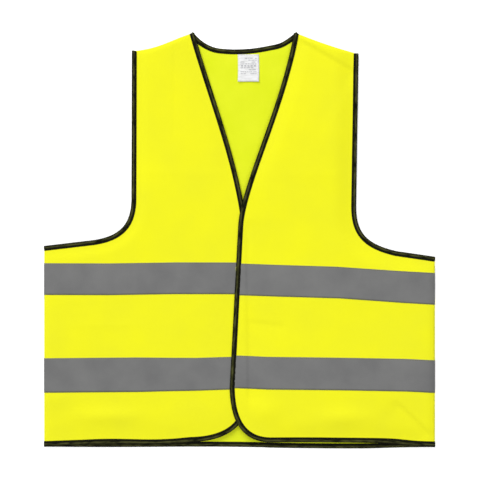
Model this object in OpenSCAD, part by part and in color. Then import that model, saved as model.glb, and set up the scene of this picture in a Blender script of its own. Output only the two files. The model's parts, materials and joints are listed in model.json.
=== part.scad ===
// High-visibility vest with a hook-and-loop front, laid flat with its front up.
// Millimetres. +X towards the wearer's left side, +Y towards the collar, +Z up out of the front.
// The back lies on z = 0. The right front lies over it and the left front overlaps the right.

/* [Body] */
// Width laid flat, side seam to side seam
vest_width = 600; // [560:5:680]
// Length from the back hem to the top of the shoulders
vest_length = 635; // [600:5:720]
// Thickness of the knitted body cloth
cloth = 0.6; // [0.4:0.05:0.8]
// Clear room between the back and the right front
body_gap = 5.9; // [5:0.1:12]
// Clear room between the two fronts where they overlap
front_gap = 2.6; // [2.6:0.1:4]

/* [Trim] */
// Finished width of the edge binding
binding_width = 7.8; // [6:0.1:12]
// Thickness of one ply of the binding
ply = 0.5; // [0.4:0.05:0.6]
// Width of the reflective tape
tape_width = 50; // [40:1:60]
// Thickness of the reflective tape
tape_thick = 0.5; // [0.3:0.05:0.6]
// Height of the upper tape's middle at the front edges
upper_tape_y = -60; // [-90:1:-40]
// Height of the lower tape's middle at the front edges
lower_tape_y = -205; // [-230:1:-180]

/* [Closure] */
// Length of each hook or loop pad
pad_length = 40; // [24:2:48]
// Width of each hook or loop pad
pad_width = 10; // [8:1:14]
// Thickness of each pad
pad_thick = 0.9; // [0.6:0.05:0.9]

/* [Label] */
// Width of the care label
label_width = 34; // [20:1:50]
// Free length of the care label
label_length = 42; // [30:1:60]

/* [Hidden] */

yellow = [0.95, 0.97, 0.16];
silver = [0.49, 0.49, 0.49];
black = [0.13, 0.14, 0.03];
white = [0.90, 0.90, 0.88];

half_width = vest_width / 2;
half_bind = binding_width / 2;
half_tape = tape_width / 2;
slit = 0.15;
seam_wall = 1;
seam_allowance = 10;
far = 500;

// Heights of the layers, from the floor up
back_z = ply;
back_top = back_z + cloth;
right_z = back_top + body_gap;
right_top = right_z + cloth;
left_z = right_top + front_gap;
left_top = left_z + cloth;

// Grading from the middle size, which is 600 wide and 635 long
function grade(p) = [p[0] * vest_width / 600, p[1] * vest_length / 635];
function bezier(a, b, c, d, n) = [for (i = [0:n]) let (t = i / n)
  grade(pow(1 - t, 3) * a + 3 * t * pow(1 - t, 2) * b + 3 * t * t * (1 - t) * c + pow(t, 3) * d)];
function line(a, b) = [grade(a), grade(b)];
function turned(path) = [for (i = [len(path) - 1:-1:0]) path[i]];
function joined(a, b) = concat(a, [for (p = b) if (norm(p - a[len(a) - 1]) > 0.01) p]);
function unit(v) = v / norm(v);

// A path moved sideways; positive distances move it off the cloth, to the right of its travel
function side(v) = [v[1], -v[0]];
function edge_dir(path, i) = unit(path[min(i + 1, len(path) - 1)] - path[min(i, len(path) - 2)]);
function mitre(path, i) = let (
    u = edge_dir(path, max(i - 1, 0)),
    v = edge_dir(path, i),
    s = unit(side(u) + side(v)))
  s / (s * side(v));
function moved(path, d) = [for (i = [0:len(path) - 1]) path[i] + d * mitre(path, i)];

// Middle lines of the bound edges, walked with the cloth on the left
back_hem = line([-310, -313.6], [310, -313.6]);
right_hem = line([-310, -311], [-75, -307]);
left_hem = line([55, -307.5], [310, -312.5]);
right_corner = bezier([-75, -307], [0, -307], [13, -266], [11, -228], 7);
left_corner = bezier([-11.5, -228], [-11, -272], [1, -307.5], [55, -307.5], 7);
right_neck = bezier([8, 20], [-4, 124], [-42, 212], [-72.5, 316], 7);
left_neck = bezier([87, 316], [66, 200], [4, 82], [1.8, 20], 8);
right_edge = joined(joined(right_corner, right_neck), line([-72.5, 316], [-76.5, 330]));
left_edge = joined(joined(line([89.5, 330], [87, 316]), left_neck), left_corner);
back_neck = joined(joined(line([103, 331], [86, 315.5]),
                   bezier([86, 315.5], [47, 279], [-48, 279], [-72.5, 315.5], 9)),
                   line([-72.5, 315.5], [-83, 331]));
left_arm = joined(joined(line([310, -31], [240, -20.8]),
                  bezier([240, -20.8], [194, -10], [175.5, 8], [176.3, 52], 7)),
                  line([176.3, 52], [180.2, 300]));
right_arm = joined(joined(line([-162, 300], [-162.5, 68]),
                   bezier([-162.5, 68], [-161.5, 22], [-181, 2], [-225, -4.5], 7)),
                   line([-225, -4.5], [-310, -14.5]));
right_front = joined(right_hem, right_edge);
left_front = joined(left_edge, left_hem);

// Lines the fronts fold back along, from the collar down to the hem
right_fold = [grade([-67.5, 317.5]), grade([-115, -317.5])];
left_fold = [grade([82.5, 317.5]), grade([180, -317.5])];

// The whole vest without its openings, drawn in by a distance at the shoulders and sides
module blank(inset = 0) {
  w = half_width - inset;
  drop = 1.05 * inset;
  left_tip = grade([88, 317.5]) - [0, drop];
  left_low = grade([300, 245.7]) - [0, drop];
  right_tip = grade([-74, 317.5]) - [0, drop];
  right_low = grade([-300, 249.9]) - [0, drop];
  polygon([[-w, -far], [w, -far], [w, left_low[1]], left_tip, right_tip, [-w, right_low[1]]]);
}

// Ribbon along a path between two distances from it
module strip(path, a, b) {
  polygon(concat(moved(path, a), turned(moved(path, b))));
}

// Everything off the cloth at each opening
module back_cut(d) {
  beyond_hem = [[far, -far], [-far, -far]];
  beyond_neck = [[-100, far], [100, far]];
  polygon(concat(moved(back_hem, d), beyond_hem));
  polygon(concat(moved(back_neck, d), beyond_neck));
  arm_cut(d);
}

module arm_cut(d) {
  beyond_left = [[far, far], [far, -35]];
  beyond_right = [[-far, -20], [-far, far]];
  polygon(concat(moved(left_arm, d), beyond_left));
  polygon(concat(moved(right_arm, d), beyond_right));
}

module right_cut(d) {
  beyond = [[-80, far], [far, far], [far, -far], [-far, -far], [-far, -315]];
  polygon(concat(moved(right_front, d), beyond));
  arm_cut(d);
}

module left_cut(d) {
  beyond = [[far, -315], [far, -far], [-far, -far], [-far, far], [89, far]];
  polygon(concat(moved(left_front, d), beyond));
  arm_cut(d);
}

// Half of the plane on one side of a fold, kept clear of the fold by the slit
module fold_side(fold, to_left) {
  u = unit(fold[1] - fold[0]);
  s = (to_left ? 1 : -1) * [-u[1], u[0]];
  a = fold[0] - far * u + slit * s;
  b = fold[1] + far * u + slit * s;
  polygon([a, b, b + far * s, a + far * s]);
}

// A piece trimmed to the outline of the vest
module within(inset) {
  intersection() {
    union() { children(); }
    at(-1, 40) blank(inset);
  }
}

module at(z, height) {
  translate([0, 0, z]) linear_extrude(height) children();
}

// Binding folded over an edge: two plies with the cloth between them
module bound(path, z) {
  difference() {
    at(z - ply, cloth + 2 * ply) strip(path, -half_bind, half_bind);
    at(z, cloth) strip(path, -half_bind - 1, half_bind - ply);
  }
}

// The slanting and upright ends of the bindings, closed from the back up to a front
module end_web(path, top) {
  at(0, top) intersection() {
    difference() { blank(); blank(seam_wall); }
    strip(path, -half_bind, half_bind);
  }
}

module panel(z, at_front) {
  inset = half_bind - ply;
  at(z, cloth) difference() {
    blank(seam_wall);
    if (at_front == "back") back_cut(inset);
    if (at_front == "right") right_cut(inset);
    if (at_front == "left") left_cut(inset);
  }
}

module right_half(to_side) {
  intersection() {
    children();
    at(-1, 40) fold_side(right_fold, !to_side);
  }
}

module left_half(to_side) {
  intersection() {
    children();
    at(-1, 40) fold_side(left_fold, to_side);
  }
}

// Reflective tape laid across one layer, given the heights of its middle at four places
module tape(points, z) {
  at(z, tape_thick) intersection() {
    blank(seam_wall);
    ribbon(points);
    children();
  }
}

module ribbon(points) {
  low = [for (p = points) p - [0, half_tape]];
  high = [for (p = points) p + [0, half_tape]];
  polygon(concat(low, turned(high)));
}

module right_tape(y, side_y) {
  points = [[-half_width, side_y], [-200, side_y], [-20, y], [20, y + 0.5]];
  tape(points, right_top) difference() {
    blank();
    right_cut(-half_bind);
  }
}

module left_tape(y, side_y) {
  points = [[-20, y + 1], [10, y], [100, y + (side_y - y) * 0.3], [half_width, side_y]];
  tape(points, left_top) difference() {
    blank();
    left_cut(-half_bind);
  }
}

// Two patches along an edge, one at each tape
module pads(path, z) {
  at(z, pad_thick) intersection() {
    strip(path, -half_bind - 0.2 - pad_width, -half_bind - 0.2);
    for (y = [upper_tape_y, lower_tape_y]) {
      translate([-40, y - pad_length / 2]) square([80, pad_length]);
    }
  }
}

// Wall and turned-in allowances of a sewn seam between the back and one front
module seam(z_front) {
  middle = (back_top + z_front) / 2;
  at(back_z, z_front + cloth - back_z) seam_band(0, seam_wall) children();
  at(middle - cloth, 2 * cloth) seam_band(seam_wall, seam_wall + seam_allowance) children();
}

module seam_band(outer, inner) {
  difference() {
    intersection() {
      blank(outer);
      children();
    }
    blank(inner);
    arm_cut(-half_bind);
    back_cut(-half_bind);
    strip(right_front, -half_bind, 40);
    strip(left_front, -half_bind, 40);
  }
}

module back_panel() { color(yellow) panel(back_z, "back"); }

module back_tape(y) {
  at(back_z - tape_thick, tape_thick) intersection() {
    blank(seam_wall);
    translate([-far, y - tape_width / 2]) square([2 * far, tape_width]);
  }
}

module back_upper_tape() { color(silver) back_tape(upper_tape_y - 5); }
module back_lower_tape() { color(silver) back_tape(lower_tape_y - 2); }

module back_hem_binding() {
  color(black) {
    within(0) bound(back_hem, back_z);
    hem_end(right_front, right_z) half_square(-1, -far);
    hem_end(left_front, left_z) half_square(1, -far);
  }
}

// Upright end of the hem binding where it turns from the back to a front
module hem_end(path, front_z) {
  at(0, front_z + cloth + ply) difference() {
    intersection() {
      blank();
      children();
      union() {
        strip(path, -half_bind, half_bind);
        strip(back_hem, -half_bind, half_bind);
      }
    }
    blank(seam_wall);
  }
}

module neck_binding() {
  color(black) {
    within(0) bound(back_neck, back_z);
    collar_only() {
      right_half(true) bound(right_front, right_z);
      left_half(true) bound(left_front, left_z);
      end_web(right_front, right_top + ply);
      end_web(left_front, left_top + ply);
    }
  }
}

// The stretch of a piece beside the collar
module collar_only() {
  intersection() {
    union() { children(); }
    at(-1, 40) intersection() {
      blank();
      translate([-100, 250]) square([200, 100]);
    }
  }
}

module right_side_panel() { color(yellow) right_half(true) panel(right_z, "right"); }
module left_side_panel() { color(yellow) left_half(true) panel(left_z, "left"); }
module right_front_flap() { color(yellow) right_half(false) panel(right_z, "right"); }
module left_front_flap() { color(yellow) left_half(false) panel(left_z, "left"); }

// The upper tape droops at the left side, and both lower tapes dip a little at the sides
module right_upper() { right_tape(upper_tape_y, upper_tape_y - 1); }
module right_lower() { right_tape(lower_tape_y, lower_tape_y - 4); }
module left_upper() { left_tape(upper_tape_y, upper_tape_y - 15); }
module left_lower() { left_tape(lower_tape_y + 1, lower_tape_y - 5); }

module right_side_upper_tape() { color(silver) right_half(true) right_upper(); }
module right_side_lower_tape() { color(silver) right_half(true) right_lower(); }
module right_flap_upper_tape() { color(silver) right_half(false) right_upper(); }
module right_flap_lower_tape() { color(silver) right_half(false) right_lower(); }
module left_side_upper_tape() { color(silver) left_half(true) left_upper(); }
module left_side_lower_tape() { color(silver) left_half(true) left_lower(); }
module left_flap_upper_tape() { color(silver) left_half(false) left_upper(); }
module left_flap_lower_tape() { color(silver) left_half(false) left_lower(); }

module right_hem_binding() { color(black) hem_part() right_half(true) bound(right_front, right_z); }
module left_hem_binding() { color(black) hem_part() left_half(true) bound(left_front, left_z); }
module right_front_binding() { color(black) within(0) right_half(false) bound(right_front, right_z); }
module left_front_binding() { color(black) within(0) left_half(false) bound(left_front, left_z); }

// The stretch of a piece below the collar, trimmed at the side seams
module hem_part() {
  intersection() {
    within(seam_wall) children();
    at(-1, 40) translate([-far, -far]) square([2 * far, far]);
  }
}

module armhole_binding(path, front_z) {
  within(0) {
    bound(path, back_z);
    bound(path, front_z);
  }
  end_web(path, front_z + cloth + ply);
}

module right_armhole_binding() { color(black) armhole_binding(right_arm, right_z); }
module left_armhole_binding() { color(black) armhole_binding(left_arm, left_z); }

module right_side_seam() { color(yellow) seam(right_z) half_square(-1, -far); }
module left_side_seam() { color(yellow) seam(left_z) half_square(1, -far); }
module right_shoulder_seam() { color(yellow) seam(right_z) half_square(-1, 200); }
module left_shoulder_seam() { color(yellow) seam(left_z) half_square(1, 200); }

// The left or right half of the vest, below the shoulders or above y = 200
module half_square(hand, low) {
  translate([hand > 0 ? 0 : -far, low]) square([far, low > 0 ? 200 : far]);
}

module loop_pads() { color(silver) pads(right_front, right_top + tape_thick); }
module hook_pads() { color(silver) pads(left_front, left_z - pad_thick); }

module care_label() {
  corner = [-3.5, 283.5 - label_length, back_top + 0.3];
  color(white) translate(corner) cube([label_width, label_length, 0.4]);
}

back_panel();
back_upper_tape();
back_lower_tape();
back_hem_binding();
neck_binding();
right_side_panel();
right_side_upper_tape();
right_side_lower_tape();
right_hem_binding();
left_side_panel();
left_side_upper_tape();
left_side_lower_tape();
left_hem_binding();
right_armhole_binding();
left_armhole_binding();
right_side_seam();
left_side_seam();
right_shoulder_seam();
left_shoulder_seam();
right_front_flap();
right_flap_upper_tape();
right_flap_lower_tape();
right_front_binding();
loop_pads();
left_front_flap();
left_flap_upper_tape();
left_flap_lower_tape();
left_front_binding();
hook_pads();
care_label();
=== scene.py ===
import json
import math

import bpy
import numpy as np
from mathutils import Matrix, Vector
from mathutils.geometry import delaunay_2d_cdt


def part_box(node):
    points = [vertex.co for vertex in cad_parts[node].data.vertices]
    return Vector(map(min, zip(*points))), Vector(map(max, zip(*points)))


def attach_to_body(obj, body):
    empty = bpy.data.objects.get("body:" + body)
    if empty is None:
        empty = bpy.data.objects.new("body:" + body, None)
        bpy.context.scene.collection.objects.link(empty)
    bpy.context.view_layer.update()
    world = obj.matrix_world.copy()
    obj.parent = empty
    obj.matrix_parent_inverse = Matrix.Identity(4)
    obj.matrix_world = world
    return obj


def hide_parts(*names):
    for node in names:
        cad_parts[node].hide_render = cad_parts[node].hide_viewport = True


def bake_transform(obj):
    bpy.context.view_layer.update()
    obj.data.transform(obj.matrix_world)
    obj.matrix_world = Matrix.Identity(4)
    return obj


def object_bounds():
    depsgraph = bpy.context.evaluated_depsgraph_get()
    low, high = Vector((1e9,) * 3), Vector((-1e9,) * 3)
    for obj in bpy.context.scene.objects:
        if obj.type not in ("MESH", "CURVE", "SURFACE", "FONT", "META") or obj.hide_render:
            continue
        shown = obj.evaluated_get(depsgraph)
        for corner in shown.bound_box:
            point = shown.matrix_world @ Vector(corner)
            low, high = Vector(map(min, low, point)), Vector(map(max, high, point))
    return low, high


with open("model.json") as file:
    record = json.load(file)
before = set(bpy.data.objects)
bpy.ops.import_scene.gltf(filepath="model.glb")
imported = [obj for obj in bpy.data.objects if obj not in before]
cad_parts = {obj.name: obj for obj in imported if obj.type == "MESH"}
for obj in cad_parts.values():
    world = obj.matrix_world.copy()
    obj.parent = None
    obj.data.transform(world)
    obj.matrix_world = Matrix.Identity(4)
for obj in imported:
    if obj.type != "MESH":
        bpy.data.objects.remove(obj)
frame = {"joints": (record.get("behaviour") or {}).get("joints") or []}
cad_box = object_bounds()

# A high-visibility vest laid flat, front up. Patterns are drafted in millimetres.
MM = 0.001
HALF_WIDTH = cad_box[1].x / MM
TOP_EDGE = cad_box[1].y / MM
BINDING_WIDTH = 7.8
# Distance once round the folded binding
RIBBON_ROUND = 17
TAPE_WIDTH = 50
CLOTH = 0.45
TAPE_THICKNESS = 0.34
PAD_LENGTH, PAD_WIDTH, PAD_THICKNESS = 40, 10, 0.5
# Longer side of the stretch of table that the camera sees, and the height it is measured at
VIEW_SIDE = 736.8
VIEW_HEIGHT = 8


def middle_height(node):
    low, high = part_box(node)
    return (low.z + high.z) / 2 / MM


BACK = middle_height("back_panel")
RIGHT = middle_height("right_front_flap")
LEFT = middle_height("left_front_flap")


# ---------------------------------------------------------------- camera and light


def make_camera():
    """Straight above the vest, far enough off that the cloth's thickness hardly shows."""
    data = bpy.data.cameras.new("camera")
    data.lens = 150
    camera = bpy.data.objects.new("camera", data)
    camera.location = (0, 0, (VIEW_HEIGHT + VIEW_SIDE * data.lens / data.sensor_width) * MM)
    bpy.context.collection.objects.link(camera)
    bpy.context.scene.camera = camera


def softbox(name, place, size, power):
    data = bpy.data.lights.new(name, "AREA")
    data.shape = "RECTANGLE"
    data.size, data.size_y = size
    data.energy = power
    light = bpy.data.objects.new(name, data)
    light.location = place
    light.rotation_euler = (-Vector(place)).to_track_quat("-Z", "Y").to_euler()
    bpy.context.collection.objects.link(light)


make_camera()
softbox("window", (-1.9, 4.4, 3.4), (3.4, 3.4), 300)
softbox("overhead", (0.3, -0.9, 2.8), (3.0, 3.0), 52)
world = bpy.data.worlds.new("studio")
world.use_nodes = True
world.node_tree.nodes["Background"].inputs["Color"].default_value = (0.97, 0.985, 1, 1)
world.node_tree.nodes["Background"].inputs["Strength"].default_value = 0.28
bpy.context.scene.world = world
bpy.context.scene.view_settings.view_transform = "Standard"


# ---------------------------------------------------------------- materials


def linear(code):
    """An sRGB hex colour as linear red, green, blue and alpha."""
    parts = [int(code[i : i + 2], 16) / 255 for i in (0, 2, 4)]
    return (*[c / 12.92 if c <= 0.04045 else ((c + 0.055) / 1.055) ** 2.4 for c in parts], 1)


def put(tree, kind, settings=(), stops=(), **inputs):
    """A node with its settings and a ramp's stops; each input is linked to a socket or set to a value."""
    node = tree.nodes.new(kind)
    for key, value in dict(settings).items():
        setattr(node, key, value)
    for place, code in stops[2:]:
        node.color_ramp.elements.new(place).color = linear(code)
    for index, (place, code) in zip((0, -1), stops[:2]):
        node.color_ramp.elements[index].position = place
        node.color_ramp.elements[index].color = linear(code)
    for key, value in inputs.items():
        socket = node.inputs[int(key[1:]) if key[1:].isdigit() else key.replace("_", " ")]
        if isinstance(value, bpy.types.Node):
            value = value.outputs[0]
        if isinstance(value, bpy.types.NodeSocket):
            tree.links.new(value, socket)
        else:
            socket.default_value = value
    return node


def blank_material(name):
    material = bpy.data.materials.new(name)
    material.use_nodes = True
    material.node_tree.nodes.clear()
    return material, material.node_tree


def wave_scale(spacing_mm):
    """The wave texture's scale for one ridge every spacing_mm."""
    return 2 * math.pi / 20 / (spacing_mm * MM)


def noise_scale(size_mm):
    return 1 / (size_mm * MM)


ADD_SHARE = {"operation": "MULTIPLY_ADD"}


def knitted_polyester(name, light, dark, fuzz):
    """Warp-knitted polyester, dyed fluorescent: fine upright wales, a dry face, a glow through it."""
    material, tree = blank_material(name)
    where = put(tree, "ShaderNodeTexCoord").outputs["Object"]
    # Wales are really 0.7 mm apart and courses 0.6 mm; both are drawn wider so that they show
    up = {"bands_direction": "X"}
    level = {"bands_direction": "Y"}
    wales = put(tree, "ShaderNodeTexWave", up, Vector=where, Scale=wave_scale(1.3), Distortion=0.3)
    courses = put(tree, "ShaderNodeTexWave", level, Vector=where, Scale=wave_scale(1.0), Distortion=0.2)
    yarn = put(tree, "ShaderNodeTexNoise", Vector=where, Scale=noise_scale(1.6), Detail=3)
    dye = put(tree, "ShaderNodeTexNoise", Vector=where, Scale=noise_scale(60), Detail=3)
    relief = put(tree, "ShaderNodeMath", ADD_SHARE, _0=courses, _1=0.6, _2=wales)
    relief = put(tree, "ShaderNodeMath", ADD_SHARE, _0=yarn, _1=fuzz, _2=relief)
    tone = put(tree, "ShaderNodeMath", ADD_SHARE, _0=yarn, _1=0.2, _2=dye)
    shade = put(tree, "ShaderNodeValToRGB", stops=((0.35, dark), (0.85, light)), Fac=tone)
    bump = put(tree, "ShaderNodeBump", Height=relief, Strength=0.35, Distance=0.00012)
    glow = put(tree, "ShaderNodeBsdfTranslucent", Color=shade, Normal=bump)
    face = put(
        tree,
        "ShaderNodeBsdfPrincipled",
        Base_Color=shade,
        Roughness=0.85,
        Normal=bump,
        Specular_IOR_Level=0.15,
        Sheen_Weight=0.04,
    )
    both = put(tree, "ShaderNodeMixShader", _0=0.18, _1=face, _2=glow)
    put(tree, "ShaderNodeOutputMaterial", Surface=both)
    return material


def glass_bead_tape(name):
    """Glass beads glued to a woven backing: an even, dull grey with a very fine grain."""
    material, tree = blank_material(name)
    where = put(tree, "ShaderNodeTexCoord").outputs["Object"]
    # Beads are under 0.1 mm, so the grain is drawn ten times coarser
    beads = put(tree, "ShaderNodeTexNoise", Vector=where, Scale=noise_scale(0.9), Detail=4)
    rubbed = put(tree, "ShaderNodeTexNoise", Vector=where, Scale=noise_scale(45), Detail=3)
    up = {"bands_direction": "X"}
    weave = put(tree, "ShaderNodeTexWave", up, Vector=where, Scale=wave_scale(1.1), Distortion=0.5)
    tone = put(tree, "ShaderNodeMath", ADD_SHARE, _0=beads, _1=0.35, _2=rubbed)
    shade = put(tree, "ShaderNodeValToRGB", stops=((0.45, "656565"), (0.9, "717170")), Fac=tone)
    relief = put(tree, "ShaderNodeMath", ADD_SHARE, _0=weave, _1=0.3, _2=beads)
    bump = put(tree, "ShaderNodeBump", Height=relief, Strength=0.25, Distance=0.0001)
    beaded = put(
        tree,
        "ShaderNodeBsdfPrincipled",
        Base_Color=shade,
        Roughness=0.55,
        Normal=bump,
        Specular_IOR_Level=0.3,
    )
    put(tree, "ShaderNodeOutputMaterial", Surface=beaded)
    return material


def woven_ribbon(name, dark, light, rib_mm, stops, roughness, gloss, along="X"):
    """Narrow woven ribbon: ribs across its length, streaks along it, and, where its stops ask for it, a
    painted highlight that makes its crown paler and its flat inner half darker.
    """
    material, tree = blank_material(name)
    where = put(tree, "ShaderNodeUVMap", {"uv_map": "cut"})
    bands = {"bands_direction": along}
    ribs = put(tree, "ShaderNodeTexWave", bands, Vector=where, Scale=wave_scale(rib_mm), Distortion=0.4)
    yarn = put(tree, "ShaderNodeTexNoise", Vector=where, Scale=noise_scale(0.8), Detail=3)
    stretched = put(tree, "ShaderNodeMapping", Vector=where, Scale=(0.2, 1, 1))
    streaks = put(tree, "ShaderNodeTexNoise", Vector=stretched, Scale=noise_scale(3), Detail=3)
    # The cut's Y runs once round the folded ribbon
    across = put(tree, "ShaderNodeSeparateXYZ", Vector=where).outputs["Y"]
    round_it = put(tree, "ShaderNodeMath", {"operation": "MULTIPLY"}, _0=across, _1=1 / (RIBBON_ROUND * MM))
    # Painted highlight: this ramp, run once round the folded ribbon, paints the crown paler and the inner
    # half darker
    painted_highlight = put(tree, "ShaderNodeValToRGB", stops=stops, Fac=round_it)
    tone = put(tree, "ShaderNodeMath", ADD_SHARE, _0=streaks, _1=2.2, _2=-0.85)
    tone = put(tree, "ShaderNodeMath", ADD_SHARE, _0=ribs, _1=0.15, _2=tone)
    tone = put(tree, "ShaderNodeMath", {"operation": "MULTIPLY", "use_clamp": True}, _0=tone, _1=painted_highlight)
    shade = put(tree, "ShaderNodeValToRGB", stops=((0.0, dark), (0.55, light)), Fac=tone)
    relief = put(tree, "ShaderNodeMath", ADD_SHARE, _0=yarn, _1=0.7, _2=ribs)
    bump = put(tree, "ShaderNodeBump", Height=relief, Strength=0.5, Distance=0.00015)
    ribbon = put(
        tree,
        "ShaderNodeBsdfPrincipled",
        Base_Color=shade,
        Roughness=roughness,
        Normal=bump,
        Specular_IOR_Level=gloss,
    )
    put(tree, "ShaderNodeOutputMaterial", Surface=ribbon)
    return material


def spun_thread(name, dark, light):
    """Spun polyester thread: two plies twisted together, with a soft shine on each turn."""
    material, tree = blank_material(name)
    where = put(tree, "ShaderNodeTexCoord").outputs["Object"]
    slant = {"bands_direction": "DIAGONAL"}
    twist = put(tree, "ShaderNodeTexWave", slant, Vector=where, Scale=wave_scale(0.6), Distortion=1.5)
    shade = put(tree, "ShaderNodeValToRGB", stops=((0.1, dark), (0.9, light)), Fac=twist)
    bump = put(tree, "ShaderNodeBump", Height=twist, Strength=0.4, Distance=0.0001)
    thread = put(tree, "ShaderNodeBsdfPrincipled", Base_Color=shade, Roughness=0.6, Normal=bump)
    put(tree, "ShaderNodeOutputMaterial", Surface=thread)
    return material


def printed_ink(name, dark, light):
    """Ink printed on satin: thin and matt, a little broken where the weave shows through."""
    material, tree = blank_material(name)
    where = put(tree, "ShaderNodeTexCoord").outputs["Object"]
    weave = put(tree, "ShaderNodeTexNoise", Vector=where, Scale=noise_scale(0.5), Detail=2)
    shade = put(tree, "ShaderNodeValToRGB", stops=((0.3, dark), (0.7, light)), Fac=weave)
    ink = put(tree, "ShaderNodeBsdfPrincipled", Base_Color=shade, Roughness=0.8)
    put(tree, "ShaderNodeOutputMaterial", Surface=ink)
    return material


# The binding's inner half is pressed flat and painted darker, as painted shade; its rolled outer half is
# painted paler, as a painted highlight where it faces the light
BINDING_PAINTED_HIGHLIGHT = ((0.0, "000000"), (1.0, "000000"), (0.17, "101010"), (0.31, "FFFFFF"), (0.4, "C0C0C0"))
BINDING_PAINTED_HIGHLIGHT += ((0.49, "202020"), (0.6, "C0C0C0"), (0.69, "FFFFFF"), (0.83, "101010"))
EVEN = ((0.0, "FFFFFF"), (1.0, "FFFFFF"))
YELLOW_FACE = knitted_polyester("knitted polyester, right side", "FAF81E", "F5F325", 0.8)
# The wrong side is drawn darker and greener than the right side: painted shade for the back, seen inside the
# neck opening
YELLOW_INSIDE_SHADED = knitted_polyester("knitted polyester, wrong side, painted shade", "EBF42A", "E3EF1C", 1.2)
REFLECTIVE = glass_bead_tape("glass bead reflective tape")
BLACK_BINDING = woven_ribbon("black woven binding", "070800", "4A4B26", 1.2, BINDING_PAINTED_HIGHLIGHT, 0.6, 0.05)
HOOK_TAPE = woven_ribbon("yellow nylon hook tape", "C3CF1E", "E3EE3A", 1.6, EVEN, 0.45, 0.4)
LOOP_TAPE = woven_ribbon("yellow nylon loop tape", "CBD62A", "E8F24A", 2.2, EVEN, 0.9, 0.2)
LABEL_SATIN = woven_ribbon("white satin label ribbon", "D6D6D5", "E9E9E9", 0.7, EVEN, 0.5, 0.4, "Y")
BLACK_THREAD = spun_thread("black spun polyester thread", "080903", "2A2B1C")
TAPE_THREAD = spun_thread("olive spun polyester thread", "55550C", "80801C")
YELLOW_THREAD = spun_thread("yellow spun polyester thread", "D2D520", "F0F23C")
WHITE_THREAD = spun_thread("white spun polyester thread", "BDBDBB", "E8E8E6")
PRINT_INK = printed_ink("grey label ink", "9E9EA2", "B4B4B8")


# ---------------------------------------------------------------- pattern lines


def bezier(a, b, c, d, count=48):
    a, b, c, d = (np.array(p, float) for p in (a, b, c, d))
    t = np.linspace(0, 1, count + 1)[:, None]
    return (1 - t) ** 3 * a + 3 * t * (1 - t) ** 2 * b + 3 * t * t * (1 - t) * c + t**3 * d


def chain(*parts):
    """Lines and curves end to end, without doubled points."""
    points = np.concatenate([np.asarray(p, float) for p in parts])
    keep = np.concatenate([[True], np.linalg.norm(np.diff(points, axis=0), axis=1) > 0.01])
    return points[keep]


def run_of(path):
    """Distance along a path to each of its points."""
    return np.concatenate([[0], np.cumsum(np.linalg.norm(np.diff(path, axis=0), axis=1))])


def evenly(path, step):
    run = run_of(path)
    at = np.linspace(0, run[-1], max(2, int(round(run[-1] / step)) + 1))
    return np.stack([np.interp(at, run, path[:, k]) for k in range(path.shape[1])], axis=1)


def heading(path):
    """Unit direction of travel at each point."""
    way = np.gradient(path, axis=0)
    return way / np.linalg.norm(way, axis=1)[:, None]


def off_cloth(path):
    """Unit direction off the cloth, which is on the left of every edge."""
    way = heading(path)
    return np.stack([way[:, 1], -way[:, 0]], axis=1)


def moved(path, distance):
    return path + distance * off_cloth(path)


def laid(points):
    """A smooth line through a few points, for an edge that doesn't lie quite straight."""
    points = np.array(points, float)
    ends = [2 * points[0] - points[1], *points, 2 * points[-1] - points[-2]]
    parts = []
    for before, a, b, after in zip(ends, ends[1:], ends[2:], ends[3:]):
        parts.append(bezier(a, a + (b - before) / 6, b - (after - a) / 6, b, 12))
    return chain(*parts)


# Middles of the bound edges, as the CAD part draws them, with a millimetre or two of unevenness at the hems
BACK_HEM = laid(
    [(-310, -314.1), (-200, -314.7), (-60, -314), (25, -314.8), (50, -315.6), (110, -316.5)]
    + [(190, -316.8), (250, -315.3), (310, -314.6)]
)
RIGHT_HEM = laid(
    [(-310, -313.2), (-250, -311), (-200, -309.2), (-140, -310.2), (-105, -309.2), (-75, -306.5)]
)
LEFT_HEM = laid([(50, -306.8), (110, -306.8), (190, -307.5), (235, -308.7), (272, -312.2), (310, -313.4)])
RIGHT_NECK = bezier((7.6, 20), (-5.2, 124), (-43, 212), (-72.5, 316))
LEFT_NECK = bezier((87, 316), (66.7, 200), (4.6, 82), (1.8, 20))
RIGHT_FRONT = chain(
    RIGHT_HEM,
    bezier((-75, -306.5), (0, -304.8), (12, -265), (10.8, -228)),
    RIGHT_NECK,
    [(-76.5, 330)],
)
LEFT_FRONT = chain(
    [(89.5, 330)],
    LEFT_NECK,
    bezier((-11.2, -228), (-10, -271), (3, -307.2), (50, -306.8)),
    LEFT_HEM,
)
BACK_NECK = laid(
    [(103, 331), (87.5, 315.5), (66, 300.8), (46, 295.4), (22, 291.2), (0, 289.7), (-20, 290.1), (-40, 293)]
    + [(-58, 302), (-72.5, 315.5), (-83, 331)]
)
LEFT_ARM = chain(
    [(310, -31)],
    bezier((240, -20.8), (194, -10), (175, 8), (175.4, 52)),
    [(176.9, 150), (179.4, 300)],
)
RIGHT_ARM = chain(
    [(-161.5, 300)],
    bezier((-162.2, 68), (-161.2, 22), (-181, 2.2), (-225, -4.1)),
    [(-310, -14.1)],
)
LEFT_SHOULDER = np.array([(88, 317.5), (300, 245.7)])
RIGHT_SHOULDER = np.array([(-300, 249.9), (-74, 317.5)])


def fold_of(joint):
    """The line a front folds back along, from the record: a point, and its direction towards the collar."""
    found = next(j for j in frame["joints"] if j["name"] == joint)
    way = np.array(found["axis"][:2], float)
    return np.array(found["pos_m"][:2]) / MM, way * np.sign(way[1])


RIGHT_FOLD = fold_of("right_front_opening")
LEFT_FOLD = fold_of("left_front_opening")


def past_fold(fold, hand, x, y):
    """Distance from a fold line into its flap; hand is +1 where the flap lies towards +X."""
    point, way = fold
    return hand * ((x - point[0]) * way[1] - (y - point[1]) * way[0])


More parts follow.
